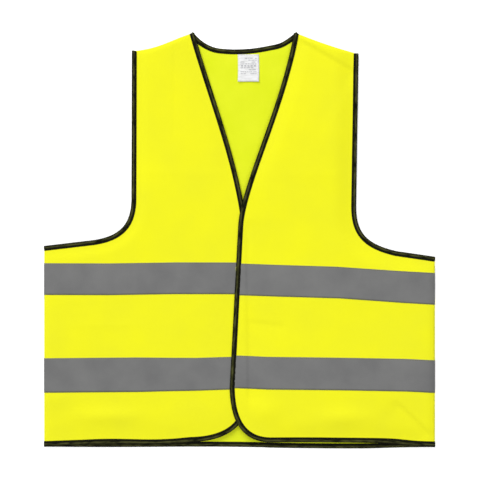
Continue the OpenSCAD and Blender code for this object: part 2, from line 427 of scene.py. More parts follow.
# Where the cloth bends it is divided along the fold, and whatever is sewn on there is divided alike
FOLD_ROWS = np.arange(-1.5, 20, 1.8)


def along_fold(fold, hand, distance):
    """A line beside a fold, as x at a height y."""
    point, way = fold
    away = np.array([way[1], -way[0]]) * hand * distance
    return lambda y: point[0] + away[0] + (y - point[1] - away[1]) * way[0] / way[1]


def shoulder_distance(x, y):
    """Distance below the nearer shoulder seam."""
    found = []
    for a, b in (RIGHT_SHOULDER, LEFT_SHOULDER):
        way = (b - a) / np.linalg.norm(b - a)
        found.append((x - a[0]) * way[1] - (y - a[1]) * way[0])
    return np.where(x < 7, found[0], found[1])


def inside_seams(points):
    """How far each point lies inside the side and shoulder seams."""
    x, y = points[:, 0], points[:, 1]
    return np.minimum(np.minimum(HALF_WIDTH - np.abs(x), shoulder_distance(x, y)), TOP_EDGE - y)


def between_seams(path):
    """The stretch of a path inside the seams, ending exactly on them."""
    path = evenly(path, 1.5)
    depth = inside_seams(path)
    kept = np.flatnonzero(depth > 0)
    first, last = kept[0], kept[-1]
    points = path[first : last + 1]
    if first > 0:
        share = depth[first] / (depth[first] - depth[first - 1])
        points = np.vstack([path[first] + (path[first - 1] - path[first]) * share, points])
    if last < len(path) - 1:
        share = depth[last] / (depth[last] - depth[last + 1])
        points = np.vstack([points, path[last] + (path[last + 1] - path[last]) * share])
    return points


def beside(path, x, y):
    """Distance from a path, and how far along it, for many points."""
    best = np.full(np.shape(x), 1e9)
    along = np.zeros(np.shape(x))
    line = evenly(path, 9)
    run = run_of(line)
    for a, b, start in zip(line[:-1], line[1:], run):
        way = b - a
        t = np.clip(((x - a[0]) * way[0] + (y - a[1]) * way[1]) / (way @ way), 0, 1)
        gap = np.hypot(x - a[0] - t * way[0], y - a[1] - t * way[1])
        nearer = gap < best
        best = np.where(nearer, gap, best)
        along = np.where(nearer, start + t * np.linalg.norm(way), along)
    return best, along


# ---------------------------------------------------------------- how the cloth lies


def ease(t):
    t = np.clip(t, 0, 1)
    return t * t * (3 - 2 * t)


def rounding(distance, reach):
    """Quarter-round from 0 on a seam to 1 at reach."""
    t = np.clip(distance / reach, 0, 1)
    return np.sqrt(np.maximum(1 - (1 - t) ** 2, 0))


def waves(x, y, seed, length, count=7):
    """Soft unevenness of laid cloth, about one high, with swells about length apart."""
    r = np.random.default_rng(seed)
    total = np.zeros(np.shape(x))
    turns, stretches, phases = (r.uniform(a, b, count) for a, b in ((0, math.pi), (0.7, 1.6), (0, 6.3)))
    for turn, stretch, phase in zip(turns, stretches, phases):
        run = x * math.cos(turn) + y * math.sin(turn)
        total += np.sin(run * 2 * math.pi / (length * stretch) + phase)
    return total / math.sqrt(count)


def crease(x, y, a, b, width):
    """A pressed line from a to b that fades out at its ends."""
    a, b = np.array(a, float), np.array(b, float)
    way = (b - a) / np.linalg.norm(b - a)
    along = (x - a[0]) * way[0] + (y - a[1]) * way[1]
    across = (x - a[0]) * way[1] - (y - a[1]) * way[0]
    reach = np.linalg.norm(b - a)
    fade = ease(along / 25 + 0.5) * ease((reach - along) / 25 + 0.5)
    return np.exp(-np.abs(across) / width) * fade


def fold_down(x, y, a, b, drop, width, reach=30):
    """A soft fold: to the right of the line from a to b the cloth steps down, then slowly comes back up."""
    a, b = np.array(a, float), np.array(b, float)
    length = np.linalg.norm(b - a)
    way = (b - a) / length
    along = (x - a[0]) * way[0] + (y - a[1]) * way[1]
    across = (x - a[0]) * way[1] - (y - a[1]) * way[0]
    fade = ease(along / 20 + 0.3) * ease((length - along) / 20 + 0.3)
    return -drop * ease(across / width + 0.5) * np.exp(-np.maximum(across, 0) / reach) * fade


def droop(path, x, y, reach):
    """1 on an edge, fading to 0 at reach inside it."""
    return 1 - ease(beside(path, x, y)[0] / reach)


def pucker(path, x, y, pitch, reach):
    """The ripple that a sewn binding draws into the cloth beside it."""
    gap, along = beside(path, x, y)
    beat = along / pitch + 0.35 * np.sin(along / 23) + 0.2 * np.sin(along / 7.3)
    return np.sin(beat * 2 * math.pi) * np.exp(-gap / reach)


def swelling(x, y, place, size, rise):
    """A soft rise in the cloth, round or oval."""
    return rise * np.exp(-(((x - place[0]) / size[0]) ** 2) - ((y - place[1]) / size[1]) ** 2)


def front_relief(x, y):
    """Unevenness that both fronts share, so they never meet where they overlap."""
    relief = 0.4 * waves(x, y, 3, 190) + 0.1 * waves(x, y, 8, 62)
    relief += 0.3 * crease(x, y, (-150, 104), (-20, 100), 5)
    relief += 0.3 * crease(x, y, (40, 98), (150, 101), 6)
    relief += fold_down(x, y, (-104, 160), (-102, 306), 0.45, 3, 14)
    relief += fold_down(x, y, (10, -123), (70, -131), 1.0, 7, 18)
    relief += fold_down(x, y, (238, -245), (296, -300), 2.1, 6, 24)
    relief += swelling(x, y, (160, -272), (36, 13), 2.6)
    relief += swelling(x, y, (40, -264), (22, 16), 1.8)
    relief += swelling(x, y, (-200, -270), (50, 12), 2.4)
    relief += swelling(x, y, (-70, -262), (30, 20), 1.0)
    relief += swelling(x, y, (-278, -242), (26, 16), 1.6)
    relief += 0.35 * crease(x, y, (-270, -130), (-160, -131), 6)
    return relief


def seam_shape(x, y):
    return rounding(HALF_WIDTH - np.abs(x), 14) * rounding(shoulder_distance(x, y), 8)


def seam_height(x):
    return BACK + (np.where(x < 7, RIGHT, LEFT) - BACK) / 2


def right_height(x, y):
    height = RIGHT + front_relief(x, y)
    height -= 2.3 * droop(RIGHT_ARM, x, y, 24)
    height -= 0.35 * np.exp(-(((beside(RIGHT_ARM, x, y)[0] - 10.5) / 2.2) ** 2))
    height -= 1.6 * droop(RIGHT_NECK, x, y, 26) * ease((y - 60) / 60)
    height -= 1.5 * droop(RIGHT_FRONT, x, y, 32) * ease((-y - 255) / 45)
    height += 0.16 * pucker(RIGHT_FRONT, x, y, 11, 7) + 0.16 * pucker(RIGHT_ARM, x, y, 10, 7)
    middle = seam_height(x)
    return middle + (height - middle) * seam_shape(x, y)


def left_height(x, y):
    height = LEFT + front_relief(x, y)
    height -= 4.3 * droop(LEFT_ARM, x, y, 34)
    height -= 2.4 * droop(LEFT_NECK, x, y, 28) * ease((y - 75) / 60)
    height -= 0.5 * droop(LEFT_FRONT, x, y, 24)
    height -= 2.0 * droop(LEFT_FRONT, x, y, 34) * ease((-y - 265) / 40) * ease((x - 30) / 60)
    height += 0.16 * pucker(LEFT_FRONT, x, y, 11, 7) + 0.16 * pucker(LEFT_ARM, x, y, 10, 7)
    # It steps down where the other front's bound edge ends underneath
    height += fold_down(x, y, (13, -250), (9.5, 30), 1.6, 6, 28)
    # and again where the shoulder's thickness ends
    height += fold_down(x, y, (90, 312), (184, 257), 2.2, 6, 50)
    middle = seam_height(x)
    return middle + (height - middle) * seam_shape(x, y)


def back_height(x, y):
    lift = 0.45 + 0.4 * waves(x, y, 21, 150) + 0.1 * waves(x, y, 22, 50)
    inside = inside_seams(np.stack([x.ravel(), y.ravel()], axis=1)).reshape(x.shape)
    height = BACK + np.maximum(lift, 0) * ease(inside / 25)
    height = BACK + (height - BACK) * (1 - droop(BACK_NECK, x, y, 16)) * ease((y + 312) / 20)
    middle = seam_height(x)
    return middle + (height - middle) * seam_shape(x, y)


def surface_normal(height, x, y, up=1):
    """Which way the cloth faces at each point; up is -1 for the back, whose outside faces down."""
    step = 0.05
    dx = (height(x + step, y) - height(x - step, y)) / (2 * step)
    dy = (height(x, y + step) - height(x, y - step)) / (2 * step)
    normal = np.stack([-dx, -dy, np.ones_like(dx)], axis=-1) * up
    return normal / np.linalg.norm(normal, axis=-1)[..., None]


def on_cloth(height, x, y, rise=0.0, up=1):
    """Points a small way off the cloth's outer face."""
    x, y = np.asarray(x, float), np.asarray(y, float)
    limit = HALF_WIDTH - 0.06
    x = np.clip(x, -limit, limit)
    base = np.stack([x, y, height(x, y)], axis=-1)
    return base + rise * surface_normal(height, x, y, up) if rise else base


# ---------------------------------------------------------------- making pieces


def settled(points):
    """Lets the shoulders sag a few millimetres between neck and armhole, as they lie."""
    points = np.array(points, float)
    x, y = points[:, 0], points[:, 1]
    near = 1 - ease((shoulder_distance(x, y) - 4) / 70)
    right = np.clip((x + 166) / 86, 0, 1)
    left = np.clip((x - 92) / 84, 0, 1)
    points[:, 1] -= near * (0.5 + 3.9 * np.sin(math.pi * right**0.8) ** 1.5 + 1.3 * np.sin(math.pi * left))
    return points


def new_piece(name, points, faces, material, cut=None):
    """A mesh in place, from points in millimetres, with its cut's flat coordinates as UVs in metres."""
    mesh = bpy.data.meshes.new(name)
    mesh.from_pydata((settled(points) * MM).tolist(), [], [list(f) for f in faces])
    mesh.validate()
    if cut is not None:
        layer = mesh.uv_layers.new(name="cut")
        corners = np.empty(len(mesh.loops), int)
        mesh.loops.foreach_get("vertex_index", corners)
        layer.data.foreach_set("uv", (np.asarray(cut, float)[corners] * MM).astype(np.float32).ravel())
    mesh.materials.append(material)
    mesh.polygons.foreach_set("use_smooth", [True] * len(mesh.polygons))
    piece = bpy.data.objects.new(name, mesh)
    bpy.context.collection.objects.link(piece)
    return piece


def finish_modifiers(piece):
    bpy.ops.object.select_all(action="DESELECT")
    piece.select_set(True)
    bpy.context.view_layer.objects.active = piece
    for modifier in list(piece.modifiers):
        bpy.ops.object.modifier_apply(modifier=modifier.name)
    piece.select_set(False)


def thicken(piece, thickness, inside=None):
    """Gives a single layer its real thickness, half on each side, and a material for its inner face."""
    solid = piece.modifiers.new("thickness", "SOLIDIFY")
    solid.thickness = thickness * MM
    solid.offset = 0
    if inside:
        piece.data.materials.append(inside)
        solid.material_offset = 1
    finish_modifiers(piece)
    return piece


def is_inside(loop, points):
    x, y = points[:, 0], points[:, 1]
    found = np.zeros(len(points), bool)
    for (ax, ay), (bx, by) in zip(loop, np.roll(loop, -1, axis=0)):
        if ay != by:
            found ^= ((ay > y) != (by > y)) & (x < (bx - ax) * (y - ay) / (by - ay) + ax)
    return found


def rows_along(a, b, offsets, step):
    """Rows of points beside a straight line, at the given distances to its right."""
    a, b = np.array(a, float), np.array(b, float)
    way = (b - a) / np.linalg.norm(b - a)
    out = np.array([way[1], -way[0]])
    line = evenly(np.stack([a, b]), step)
    return np.concatenate([line + out * d for d in offsets])


def cut_panel(name, edges, height, spacing, fold=None, hand=1, outside_up=True):
    """One panel of cloth, cut to its bound edges and seams and laid at its height."""
    loop = chain(*[between_seams(edge) for edge in edges])
    loop = evenly(np.vstack([loop, loop[:1]]), 3)[:-1]
    grid = np.stack(np.meshgrid(np.arange(-300, 301, spacing), np.arange(-318, 319, spacing)), axis=-1)
    grid = grid.reshape(-1, 2).astype(float)
    grid[:, 0] += (np.round((grid[:, 1] + 318) / spacing) % 2) * spacing / 2
    clear = (HALF_WIDTH - np.abs(grid[:, 0]) > 15) & (shoulder_distance(grid[:, 0], grid[:, 1]) > 9)
    if fold:
        past = past_fold(fold, hand, grid[:, 0], grid[:, 1])
        clear &= (past < -3) | (past > 21)
    rows = [grid[clear]]
    side_rows = [0.4, 1.2, 2.5, 4.2, 6.5, 9.3, 12.5]
    rows.append(rows_along((-HALF_WIDTH, -320), (-HALF_WIDTH, 0), side_rows, 4))
    rows.append(rows_along((HALF_WIDTH, 0), (HALF_WIDTH, -320), side_rows, 4))
    for a, b in (RIGHT_SHOULDER, LEFT_SHOULDER):
        rows.append(rows_along(a, b, [0.3, 0.9, 1.9, 3.2, 5, 7.2], 4))
    if fold:
        point, way = fold
        away = np.array([way[1], -way[0]]) * hand
        line = evenly(np.stack([point - way * 330, point + way * 330]), 4)
        rows.append(np.concatenate([line + away * d for d in FOLD_ROWS]))
    points = np.concatenate(rows)
    points = points[is_inside(loop, points)]
    near = np.full(len(points), 1e9)
    for p, q in zip(loop, np.roll(loop, -1, axis=0)):
        way = q - p
        t = np.clip(((points - p) @ way) / (way @ way), 0, 1)
        near = np.minimum(near, np.linalg.norm(points - p - t[:, None] * way, axis=1))
    on_seam = HALF_WIDTH - np.abs(points[:, 0]) < 14
    on_seam |= shoulder_distance(points[:, 0], points[:, 1]) < 8
    points = points[(near > 1.2) | (on_seam & (near > 0.2))]
    flat = np.concatenate([loop, points])
    corners = [Vector(p) for p in flat]
    made = delaunay_2d_cdt(corners, [], [list(range(len(loop)))], 1, 1e-6)
    flat = np.array([tuple(p) for p in made[0]])
    placed = on_cloth(height, flat[:, 0], flat[:, 1])
    faces = made[2]
    a, b, c = (flat[corner] for corner in faces[0])
    if (np.cross(b - a, c - b) > 0) != outside_up:
        faces = [face[::-1] for face in faces]
    piece = new_piece(name, placed, faces, YELLOW_FACE, flat)
    return thicken(piece, CLOTH, YELLOW_INSIDE_SHADED)


def strip_grid(name, points, material, cut):
    """A piece from a grid of points, rows by columns, with its flat cut beside it."""
    rows, columns = points.shape[:2]
    index = np.arange(rows * columns).reshape(rows, columns)
    quads = np.stack([index[:-1, :-1], index[:-1, 1:], index[1:, 1:], index[1:, :-1]], axis=-1).reshape(-1, 4)
    return new_piece(name, points.reshape(-1, 3), quads, material, cut.reshape(-1, 2))


def swept(name, path, out, face, profile, material, closed=False):
    """A long piece with one cross-section, given as distances off the cloth and off its face."""
    path, out, face = (np.asarray(a, float) for a in (path, out, face))
    count, size = len(path), len(profile)
    points = path[:, None] + profile[None, :, :1] * out[:, None] + profile[None, :, 1:] * face[:, None]
    index = np.arange(count * size).reshape(count, size)
    over = np.roll(index, -1, axis=1)
    if closed:
        nxt, over_next = np.roll(index, -1, axis=0), np.roll(over, -1, axis=0)
    else:
        nxt, over_next, index, over = index[1:], over[1:], index[:-1], over[:-1]
    faces = np.stack([index, nxt, over_next, over], axis=-1).reshape(-1, 4).tolist()
    if not closed:
        faces += [list(range(size)), list(range(count * size - 1, (count - 1) * size - 1, -1))]
    run = run_of(path)
    around = run_of(profile)
    cut = np.stack(np.broadcast_arrays(run[:, None], around[None]), axis=-1).reshape(-1, 2)
    piece = new_piece(name, points.reshape(-1, 3), faces, material, cut)
    bpy.ops.object.select_all(action="DESELECT")
    piece.select_set(True)
    bpy.context.view_layer.objects.active = piece
    bpy.ops.object.mode_set(mode="EDIT")
    bpy.ops.mesh.select_all(action="SELECT")
    bpy.ops.mesh.normals_make_consistent(inside=False)
    bpy.ops.object.mode_set(mode="OBJECT")
    piece.select_set(False)
    return piece


# Folded binding, seen from its cut end: distance off the edge's middle, then off the cloth
HALF = BINDING_WIDTH / 2
UPPER = [(-HALF, 0.26), (-HALF + 0.06, 0.58), (-3.35, 0.76), (-2.7, 0.56), (-2.05, 0.78), (-0.9, 0.98)]
UPPER += [(0.9, 1.02), (2.3, 0.9), (3.3, 0.64), (HALF - 0.08, 0.33)]
BINDING_SECTION = np.array(UPPER + [(HALF, 0.0)] + [(w, -n) for w, n in UPPER[::-1]])


def pick(piece, test):
    """Selects the vertices of a piece in edit mode by their place, in millimetres."""
    bpy.ops.object.mode_set(mode="OBJECT")
    for part in (*piece.data.polygons, *piece.data.edges):
        part.select = False
    for vertex in piece.data.vertices:
        vertex.select = test(vertex.co / MM)
    bpy.ops.object.mode_set(mode="EDIT")
    bpy.context.tool_settings.mesh_select_mode = (True, False, False)


def shape_of(piece):
    """A finished pattern piece's points in millimetres and its faces; the piece itself is put away."""
    bpy.ops.object.mode_set(mode="OBJECT")
    points = np.array([v.co / MM for v in piece.data.vertices])
    faces = [list(p.vertices) for p in piece.data.polygons]
    bpy.data.objects.remove(piece)
    return points, faces


def sewn_stitch(length, width):
    """One lockstitch: a bead of thread that rises in the middle and dives into the cloth at each end."""
    bpy.ops.object.select_all(action="DESELECT")
    bpy.ops.mesh.primitive_cylinder_add(
        vertices=6,
        radius=width / 2 * MM,
        depth=length * MM,
        end_fill_type="NGON",
        rotation=(0, math.pi / 2, 0),
    )
    bead = bpy.context.object
    bpy.ops.object.transform_apply(location=False, rotation=True, scale=False)
    for place in (-0.25, 0.25, 0.0):
        bpy.ops.object.mode_set(mode="EDIT")
        bpy.ops.mesh.select_all(action="SELECT")
        bpy.ops.mesh.bisect(plane_co=(place * length * MM, 0, 0), plane_no=(1, 0, 0))
    pick(bead, lambda p: abs(p.x) > 0.4 * length)
    bpy.ops.transform.resize(value=(1, 0.45, 0.45))
    bpy.ops.transform.translate(value=(0, 0, -0.28 * width * MM))
    pick(bead, lambda p: abs(p.x) < 0.3 * length)
    bpy.ops.transform.translate(value=(0, 0, 0.26 * width * MM))
    return shape_of(bead)


def copied(name, shape, place, ahead, up, material, cut=False):
    """One shape copied to many places, its X turned ahead and its Z turned up at each."""
    points, faces = shape
    ahead = ahead - (ahead * up).sum(1)[:, None] * up
    ahead /= np.linalg.norm(ahead, axis=1)[:, None]
    across = np.cross(up, ahead)
    every = place[:, None] + points[None, :, :1] * ahead[:, None] + points[None, :, 1:2] * across[:, None]
    every += points[None, :, 2:] * up[:, None]
    quads = [[i + len(points) * k for i in face] for k in range(len(place)) for face in faces]
    flat = np.tile(points[:, :2], (len(place), 1)) if cut else None
    return new_piece(name, every.reshape(-1, 3), quads, material, flat)


def stitches(name, path, face, material, pitch=3.2, length=2.3, width=0.55, turn=0.0):
    """A row of lockstitches on a path, each turned a little off the row if need be."""
    run = run_of(path)
    at = np.arange(pitch / 2, run[-1], pitch)
    place, before, after = (
        np.stack([np.interp(at + step, run, path[:, k]) for k in range(3)], axis=1)
        for step in (0, -0.5, 0.5)
    )
    up = np.stack([np.interp(at, run, face[:, k]) for k in range(3)], axis=1)
    up /= np.linalg.norm(up, axis=1)[:, None]
    ahead = after - before
    ahead = ahead * math.cos(turn) + np.cross(up, ahead) * math.sin(turn)
    return copied(name, sewn_stitch(length, width), place, ahead, up, material)


def joined(name, pieces):
    bpy.ops.object.select_all(action="DESELECT")
    for piece in pieces:
        piece.select_set(True)
    bpy.context.view_layer.objects.active = pieces[0]
    bpy.ops.object.join()
    pieces[0].name = name
    pieces[0].data.name = name
    pieces[0].select_set(False)
    return pieces[0]


RIGHT_FLAP = ("right_flap", RIGHT_FOLD, 1)
LEFT_FLAP = ("left_flap", LEFT_FOLD, -1)


def attach(piece, body, nodes=()):
    """Fixes a piece to a body by name; a flap's piece only has its placement baked into its points."""
    if isinstance(body, str):
        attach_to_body(piece, body)
    else:
        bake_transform(piece)
    if nodes:
        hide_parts(*nodes)
    return piece


# ---------------------------------------------------------------- cloth panels

back = cut_panel("back", [BACK_HEM, LEFT_ARM, BACK_NECK, RIGHT_ARM], back_height, 4.5, outside_up=False)
attach(back, "vest", ["back_panel"])
right_front = cut_panel("right_front", [RIGHT_FRONT, RIGHT_ARM], right_height, 3.4, RIGHT_FOLD, 1)
attach(right_front, RIGHT_FLAP, ["right_side_panel", "right_front_flap"])
left_front = cut_panel("left_front", [LEFT_FRONT, LEFT_ARM], left_height, 3.4, LEFT_FOLD, -1)
attach(left_front, LEFT_FLAP, ["left_side_panel", "left_front_flap"])


# ---------------------------------------------------------------- edge bindings


def level_frame(path, height, up=1):
    """A laid edge in space, with its directions off the cloth and off the cloth's outer face."""
    out = off_cloth(path)
    place = on_cloth(height, path[:, 0], path[:, 1])
    face = surface_normal(height, np.clip(path[:, 0], -299.9, 299.9), path[:, 1], up)
    out = np.concatenate([out, np.zeros((len(out), 1))], axis=1)
    return place, out, face


def dense_ends(path, step=2.2):
    """A path with closer points where the cloth turns over a seam at its ends."""
    run = run_of(path)
    turn = [0.15, 0.5, 1.1, 2.0, 3.3, 5.0, 7.0, 9.5, 12.0]
    end = run[-1]
    at = np.concatenate([[0.02], turn, np.arange(14, end - 14, step), end - np.array(turn), [end - 0.02]])
    at = np.unique(at)
    return np.stack([np.interp(at, run, path[:, k]) for k in range(2)], axis=1)


def edge_rows(name, parts, thread, body, side=-2.7):
    """The binding's stitch rows, one on each face, for each part of the edge."""
    rows = []
    for place, out, face in parts:
        for hand in (1, -1):
            rows.append(stitches(name, place + side * out + hand * 0.62 * face, hand * face, thread))
    return attach(joined(name, rows), body)


def edge_binding(name, path, height, body, nodes):
    place, out, face = level_frame(evenly(between_seams(path), 2.2), height)
    piece = swept(name, place, out, face, BINDING_SECTION, BLACK_BINDING)
    attach(piece, body, nodes)
    rows = edge_rows(name + "_stitches", [(place, out, face)], BLACK_THREAD, body)
    return [piece, rows]


def looped_binding(name, path, front_height, nodes):
    """A binding that runs along a front's armhole, round a seam and back along the back's, as one loop."""
    path = dense_ends(between_seams(path))
    front = level_frame(path, front_height)
    behind = level_frame(path, back_height, -1)
    place, out, face = (np.concatenate([a, b[::-1]]) for a, b in zip(front, behind))
    piece = swept(name, place, out, face, BINDING_SECTION, BLACK_BINDING, closed=True)
    attach(piece, "vest", nodes)
    return [piece, edge_rows(name + "_stitches", [front, behind], BLACK_THREAD, "vest")]


right_bound = ["right_front_binding", "right_hem_binding"]
left_bound = ["left_front_binding", "left_hem_binding"]
right_trim = edge_binding("right_front_edge", RIGHT_FRONT, right_height, RIGHT_FLAP, right_bound)
left_trim = edge_binding("left_front_edge", LEFT_FRONT, left_height, LEFT_FLAP, left_bound)
right_arm_trim = looped_binding("right_armhole_edge", RIGHT_ARM, right_height, ["right_armhole_binding"])
left_arm_trim = looped_binding("left_armhole_edge", LEFT_ARM, left_height, ["left_armhole_binding"])


def plain_back_edge(name, path, nodes):
    place, out, face = level_frame(dense_ends(between_seams(path)), back_height, -1)
    piece = swept(name, place, out, face, BINDING_SECTION, BLACK_BINDING)
    attach(piece, "vest", nodes)
    rows = edge_rows(name + "_stitches", [(place, out, face)], BLACK_THREAD, "vest")
    return [piece, rows]


hem_trim = plain_back_edge("back_hem_edge", BACK_HEM, ["back_hem_binding"])
neck_trim = plain_back_edge("back_neck_edge", BACK_NECK, ["neck_binding"])


# ---------------------------------------------------------------- reflective tapes


def tape_line(xs, heights):
    """The middle height of a tape at any x."""
    return lambda x: np.interp(x, xs, heights)


UPPER_TAPE = -60
LOWER_TAPE = -205
RIGHT_UPPER = tape_line([-300, -200, -100, -20, 20], [UPPER_TAPE + d for d in (0, -0.3, 1.3, 1.2, 1)])
RIGHT_LOWER = tape_line([-300, -200, -60, -20, 20], [LOWER_TAPE + d for d in (-3.0, -2.2, -1.2, 0.3, 1.5)])
LEFT_UPPER = tape_line(
    [-20, 6, 60, 150, 250, 300], [UPPER_TAPE + d for d in (0, -0.6, -2.5, -5.2, -12.2, -15)]
)
LEFT_LOWER = tape_line(
    [-20, 6, 40, 150, 250, 300], [LOWER_TAPE + d for d in (3, 2.7, 0.7, -0.8, -2.4, -4.6)]
)
BACK_UPPER = tape_line([0, 1], [UPPER_TAPE - 5] * 2)
BACK_LOWER = tape_line([0, 1], [LOWER_TAPE - 2] * 2)


# Where the cloth lies a little slack or tight, its tape looks wider or narrower
EVEN_WIDTH = tape_line([0, 1], [TAPE_WIDTH] * 2)
UPPER_WIDTH = tape_line([0, 1], [48.6] * 2)
RIGHT_LOWER_WIDTH = tape_line([-300, -150, -100, -60, 20], [52.8, 53, 51.4, 50.4, 49.8])


def reflective_tape(name, ends, line, height, body, nodes, width=EVEN_WIDTH, up=1):
    """A tape across one layer, between two ends that are each x at a height y, with its rows of stitches."""
    across = np.linspace(-0.5, 0.5, 17)
    left, right = ends
    lines = []
    if body != "vest":
        lines = [along_fold(*body[1:], d) for d in FOLD_ROWS[::body[2]]]
    lines = [left, *lines, right]
    x, y = [], []
    for a, b in zip(lines, lines[1:]):
        reach = b(line(0.0)) - a(line(0.0))
        turn = np.array([0.3, 1, 2, 3.5, 5.5, 8]) / reach
        along = np.arange(0, 1, 2.4 / reach) if reach > 20 else np.zeros(1)
        if a is left:
            along = np.concatenate([[0], turn, along[along > turn[-1]]])
        if b is right:
            along = np.concatenate([along[along < 1 - turn[-1]], 1 - turn[::-1], [1]])
        for t in along:
            middle = a(-60.0) + (b(-60.0) - a(-60.0)) * t
            height_here = line(middle) + across * width(middle)
            y.append(height_here)
            x.append(a(height_here) + (b(height_here) - a(height_here)) * t)
    x, y = np.array(x), np.array(y)
    points = on_cloth(height, x, y, CLOTH / 2 + 0.2, up)
    cut = np.stack([x, y], axis=-1)
    tape = strip_grid(name, points if up > 0 else points[::-1], REFLECTIVE, cut if up > 0 else cut[::-1])
    thicken(tape, TAPE_THICKNESS)
    attach(tape, body, nodes)
    rows = []
    for hand in (-1, 1):
        off = hand * (TAPE_WIDTH / 2 - 1.2)
        sx = np.linspace(left(line(left(-60.0)) + off) + 1.5, right(line(right(-60.0)) + off) - 1.5, 260)
        sy = line(sx) + hand * (width(sx) / 2 - 1.2)
        path = on_cloth(height, sx, sy, CLOTH / 2 + 0.36, up)
        face = surface_normal(height, sx, sy, up)
        rows.append(stitches(name, path, face, TAPE_THREAD, 3.4, 2.5, 0.5))
        under = on_cloth(height, sx, sy, CLOTH / 2 - 0.02, -up)
        rows.append(stitches(name, under, -face, TAPE_THREAD, 3.4, 2.5, 0.5))
    stitched = attach(joined(name + "_stitches", rows), body)
    return [tape, stitched]


def edge_at(path, inset):
    """x of an edge's tucked line at a height y."""
    line = moved(evenly(path, 3), -inset)
    line = line[(line[:, 1] > -250) & (line[:, 1] < 20)]
    order = np.argsort(line[:, 1])
    return lambda y: np.interp(y, line[order, 1], line[order, 0])


def at_side(x):
    return lambda y: np.full(np.shape(y), float(x))


TUCK = HALF - 0.9
right_edge = edge_at(RIGHT_FRONT, TUCK)
left_edge = edge_at(LEFT_FRONT, TUCK)
SIDE = HALF_WIDTH - 0.1
RIGHT_SPAN = (at_side(-SIDE), right_edge)
LEFT_SPAN = (left_edge, at_side(SIDE))
BACK_SPAN = (at_side(-SIDE), at_side(SIDE))
right_tapes = reflective_tape(
    "right_upper_tape", RIGHT_SPAN, RIGHT_UPPER, right_height, RIGHT_FLAP,
    ["right_side_upper_tape", "right_flap_upper_tape"], UPPER_WIDTH,
) + reflective_tape(
    "right_lower_tape", RIGHT_SPAN, RIGHT_LOWER, right_height, RIGHT_FLAP,
    ["right_side_lower_tape", "right_flap_lower_tape"], RIGHT_LOWER_WIDTH,
)
left_tapes = reflective_tape(
    "left_upper_tape", LEFT_SPAN, LEFT_UPPER, left_height, LEFT_FLAP,
    ["left_side_upper_tape", "left_flap_upper_tape"], UPPER_WIDTH,
) + reflective_tape(
    "left_lower_tape", LEFT_SPAN, LEFT_LOWER, left_height, LEFT_FLAP,
    ["left_side_lower_tape", "left_flap_lower_tape"],
)
back_tapes = reflective_tape(
    "back_reflective_upper", BACK_SPAN, BACK_UPPER, back_height, "vest", ["back_upper_tape"], up=-1
) + reflective_tape(
    "back_reflective_lower", BACK_SPAN, BACK_LOWER, back_height, "vest", ["back_lower_tape"], up=-1
)


# ---------------------------------------------------------------- seams inside the vest


def seam_allowance(name, line, nodes):
    """The two turned-in plies of a sewn seam, with the overlock thread along their free edge."""
    line = evenly(line, 4)
    inward = -off_cloth(line)
    depth = np.array([0.4, 2, 4, 6, 8, 10])
    x = line[:, None, 0] + inward[:, None, 0] * depth
    y = line[:, None, 1] + inward[:, None, 1] * depth
    sag = 0.25 * np.sin(run_of(line) / 9)[:, None] * (depth / 10)
    z = seam_height(x) + sag
    points = np.stack([x, y, z], axis=-1)
    cut = np.stack(np.broadcast_arrays(run_of(line)[:, None], depth[None]), axis=-1)
    piece = strip_grid(name, points, YELLOW_FACE, cut)
    thicken(piece, 0.9)
    attach(piece, "vest", nodes)
    edge = points[:, 4]
    up = np.tile([0.0, 0, 1], (len(edge), 1))
    rows = [
        stitches(name, edge + hand * up * 0.42, hand * up, YELLOW_THREAD, 2.6, 3.4, 0.4, 0.9)
        for hand in (1, -1)
    ]
    return [piece, attach(joined(name + "_overlock", rows), "vest")]


def shoulder_part(line, start, end):
    a, b = line
    return np.array([a + (b - a) * start, a + (b - a) * end])


RIGHT_SIDE = np.array([(-300, -20), (-300, -306)])
LEFT_SIDE = np.array([(300, -306), (300, -37)])
side_right = seam_allowance("right_side_allowance", RIGHT_SIDE, ["right_side_seam"])
side_left = seam_allowance("left_side_allowance", LEFT_SIDE, ["left_side_seam"])
top_right = seam_allowance(
    "right_shoulder_allowance", shoulder_part(RIGHT_SHOULDER[::-1], 0.06, 0.365), ["right_shoulder_seam"]
)
top_left = seam_allowance(
    "left_shoulder_allowance", shoulder_part(LEFT_SHOULDER[::-1], 0.59, 0.95), ["left_shoulder_seam"]
)


# ---------------------------------------------------------------- hook and loop pads


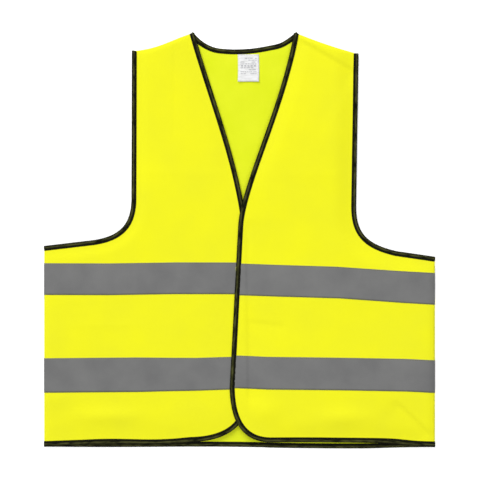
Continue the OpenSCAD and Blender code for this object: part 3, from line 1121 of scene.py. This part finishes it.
def patch(name, path, y_middle, height, rise, up, material, kind):
    """One pad beside an edge, with rounded corners, its stitches, and its hooks or loops."""
    rows = np.linspace(-PAD_LENGTH / 2, PAD_LENGTH / 2, 17)
    columns = np.linspace(0, PAD_WIDTH, 7)
    edge = edge_at(path, HALF + 0.3)
    inward = 1 if path is LEFT_FRONT else -1
    v, u = np.meshgrid(rows, columns, indexing="ij")
    corner = np.maximum(np.abs(v) - (PAD_LENGTH / 2 - 1.5), 0) ** 2
    u = PAD_WIDTH / 2 + (u - PAD_WIDTH / 2) * (1 - 0.05 * corner)
    y = y_middle + v
    x = edge(y) + inward * u
    points = on_cloth(height, x, y, rise, up)
    cut = np.stack([u, v], axis=-1)
    flip = inward * up < 0
    base = strip_grid(name, points[::-1] if flip else points, material, cut[::-1] if flip else cut)
    thicken(base, PAD_THICKNESS)
    sewn_in = 1.2
    far_side, end = PAD_WIDTH - sewn_in, PAD_LENGTH / 2 - sewn_in
    sides = [(sewn_in, -end), (sewn_in, end), (far_side, end), (far_side, -end), (sewn_in, -end)]
    outline = evenly(np.array(sides), 1.5)
    sy = y_middle + outline[:, 1]
    sx = edge(sy) + inward * outline[:, 0]
    sewn = on_cloth(height, sx, sy, rise + 0.22, up)
    seam = stitches(name, sewn, surface_normal(height, sx, sy, up), YELLOW_THREAD, 2.8, 2.0, 0.45)
    hv, hu = np.meshgrid(np.arange(-17.2, 17.5, 1.3), np.arange(2.4, 7.9, 1.3), indexing="ij")
    r = np.random.default_rng(len(name) + int(abs(y_middle)))
    hv = hv.ravel() + r.uniform(-0.3, 0.3, hv.size)
    hu = hu.ravel() + r.uniform(-0.3, 0.3, hu.size)
    hy = y_middle + hv
    hx = edge(hy) + inward * hu
    foot = on_cloth(height, hx, hy, rise + 0.2, up)
    normal = surface_normal(height, hx, hy, up)
    turn = r.uniform(0, 2 * math.pi, len(foot)) if kind == "loop" else np.resize([0, math.pi], len(foot))
    ahead = np.stack([np.cos(turn), np.sin(turn), np.zeros(len(foot))], axis=1)
    return base, seam, copied(name, NAP[kind], foot, ahead, normal, material, cut=True)


def bent_filament(width, straight, arc):
    """One nylon filament: straight out of the tape, then bent over."""
    bpy.ops.object.select_all(action="DESELECT")
    bpy.ops.mesh.primitive_circle_add(vertices=5, radius=width / 2 * MM, fill_type="NGON")
    filament = bpy.context.object
    bpy.ops.object.mode_set(mode="EDIT")
    bpy.ops.mesh.select_all(action="SELECT")
    bpy.ops.mesh.extrude_region_move(TRANSFORM_OT_translate={"value": (0, 0, straight * MM)})
    pick(filament, lambda p: p.z > straight * 0.5)
    bpy.ops.mesh.spin(
        steps=4,
        angle=math.radians(arc),
        center=(0.16 * MM, 0, straight * MM),
        axis=(0, 1, 0),
        use_auto_merge=False,
    )
    bpy.ops.mesh.select_all(action="SELECT")
    bpy.ops.mesh.remove_doubles(threshold=0.01 * MM)
    bpy.ops.mesh.normals_make_consistent(inside=False)
    return shape_of(filament)


NAP = {"hook": bent_filament(0.14, 0.16, 150), "loop": bent_filament(0.09, 0.05, 180)}


def closure(name, path, height, rise, up, body, node, material, kind):
    parts = [patch(name, path, y, height, rise, up, material, kind) for y in (UPPER_TAPE, LOWER_TAPE)]
    pads = joined(name, [p for trio in parts for p in (trio[0], trio[2])])
    attach(pads, body, [node])
    seams = joined(name + "_stitches", [trio[1] for trio in parts])
    return [pads, attach(seams, body)]


# The hook pads lie under the left front's cloth, and the loop pads on top of the right front's tapes
UNDER_CLOTH = CLOTH / 2 + 0.27
OVER_TAPE = CLOTH / 2 + 0.38 + 0.27
loops = closure(
    "loop_patches", RIGHT_FRONT, right_height, OVER_TAPE, 1, "right_flap", "loop_pads", LOOP_TAPE, "loop"
)
hooks = closure(
    "hook_patches", LEFT_FRONT, left_height, UNDER_CLOTH, -1, "left_flap", "hook_pads", HOOK_TAPE, "hook"
)


# ---------------------------------------------------------------- care label


# Height of the seam that holds the label
LABEL_SEAM = 284.6


def care_label():
    """A folded satin label hanging from the neck seam, with grey blocks and dashes where print goes."""
    low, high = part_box("care_label")
    x0, x1 = low.x / MM + 0.7, high.x / MM - 0.7
    y0, y1 = low.y / MM + 2, LABEL_SEAM + 1
    u, v = np.meshgrid(np.linspace(0, 1, 13), np.linspace(0, 1, 17))

    def lie(u, v):
        x = x0 + (x1 - x0) * u + 0.5 * np.sin(3 * v)
        y = y1 + (y0 - y1) * v
        curl = 1.3 * v**2 * (0.4 + 0.6 * (2 * u - 1) ** 2)
        z = back_height(x, y) + 0.9 + curl + 0.25 * np.sin(5 * u + 2 * v) * v
        return np.stack([x, y, z], axis=-1)

    points = lie(u, v)
    cut = np.stack([u * (x1 - x0), v * (y1 - y0)], axis=-1)
    label = strip_grid("care_label_ribbon", points, LABEL_SATIN, cut)
    thicken(label, 0.3)
    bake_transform(label)
    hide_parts("care_label")
    marks = []
    r = np.random.default_rng(5)
    for row, v0 in enumerate([0.13, 0.20, 0.27, 0.34, 0.48, 0.55, 0.63, 0.70]):
        place = 0.12
        while place < 0.84:
            size = r.uniform(0.05, 0.2)
            if r.random() < 0.8:
                marks.append((place, min(place + size, 0.88), v0, v0 + (0.026 if row < 6 else 0.02)))
            place += size + 0.035
    marks += [(0.14 + 0.15 * k, 0.24 + 0.15 * k, 0.4, 0.445) for k in range(5)]
    points, quads = [], []
    for a, b, c, d in marks:
        base = len(points)
        for p in ((a, c), (a, d), (b, d), (b, c)):
            spot = lie(np.array(p[0]), np.array(p[1]))
            points += [spot + (0, 0, 0.16), spot + (0, 0, 0.19)]
        quads += [(base + 1, base + 3, base + 5, base + 7), (base, base + 6, base + 4, base + 2)]
        for k in (0, 2, 4, 6):
            quads.append((base + k, base + (k + 2) % 8, base + (k + 3) % 8, base + k + 1))
    print_marks = new_piece("label_print", np.array(points), quads, PRINT_INK)
    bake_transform(print_marks)
    sx = np.linspace(x0 + 1, x1 - 1, 14)
    sewn = on_cloth(back_height, sx, np.full(14, LABEL_SEAM)) + (0, 0, 1.15)
    thread = stitches("label_stitches", sewn, np.tile([0.0, 0, 1], (14, 1)), WHITE_THREAD, 2.6, 2.0, 0.4)
    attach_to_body(thread, "vest")
    return [label, print_marks, thread]


label = care_label()


# ---------------------------------------------------------------- floor

bpy.ops.object.select_all(action="DESELECT")
bpy.ops.mesh.primitive_plane_add(size=12, location=(0, 0, -0.0004))
floor = bpy.context.object
floor.name = "floor"
# A shadowless display table: the light from below keeps shadows faint
acrylic, tree = blank_material("matt white acrylic table top, lit from below")
where = put(tree, "ShaderNodeTexCoord").outputs["Object"]
cloudy = put(tree, "ShaderNodeTexNoise", Vector=where, Scale=noise_scale(300))
moulded = put(tree, "ShaderNodeValToRGB", stops=((0.2, "FBFBFB"), (0.8, "FEFEFE")), Fac=cloudy)
surface = put(
    tree,
    "ShaderNodeBsdfPrincipled",
    Base_Color=moulded,
    Roughness=0.7,
    Emission_Color=moulded,
    Emission_Strength=0.36,
)
put(tree, "ShaderNodeOutputMaterial", Surface=surface)
floor.data.materials.append(acrylic)
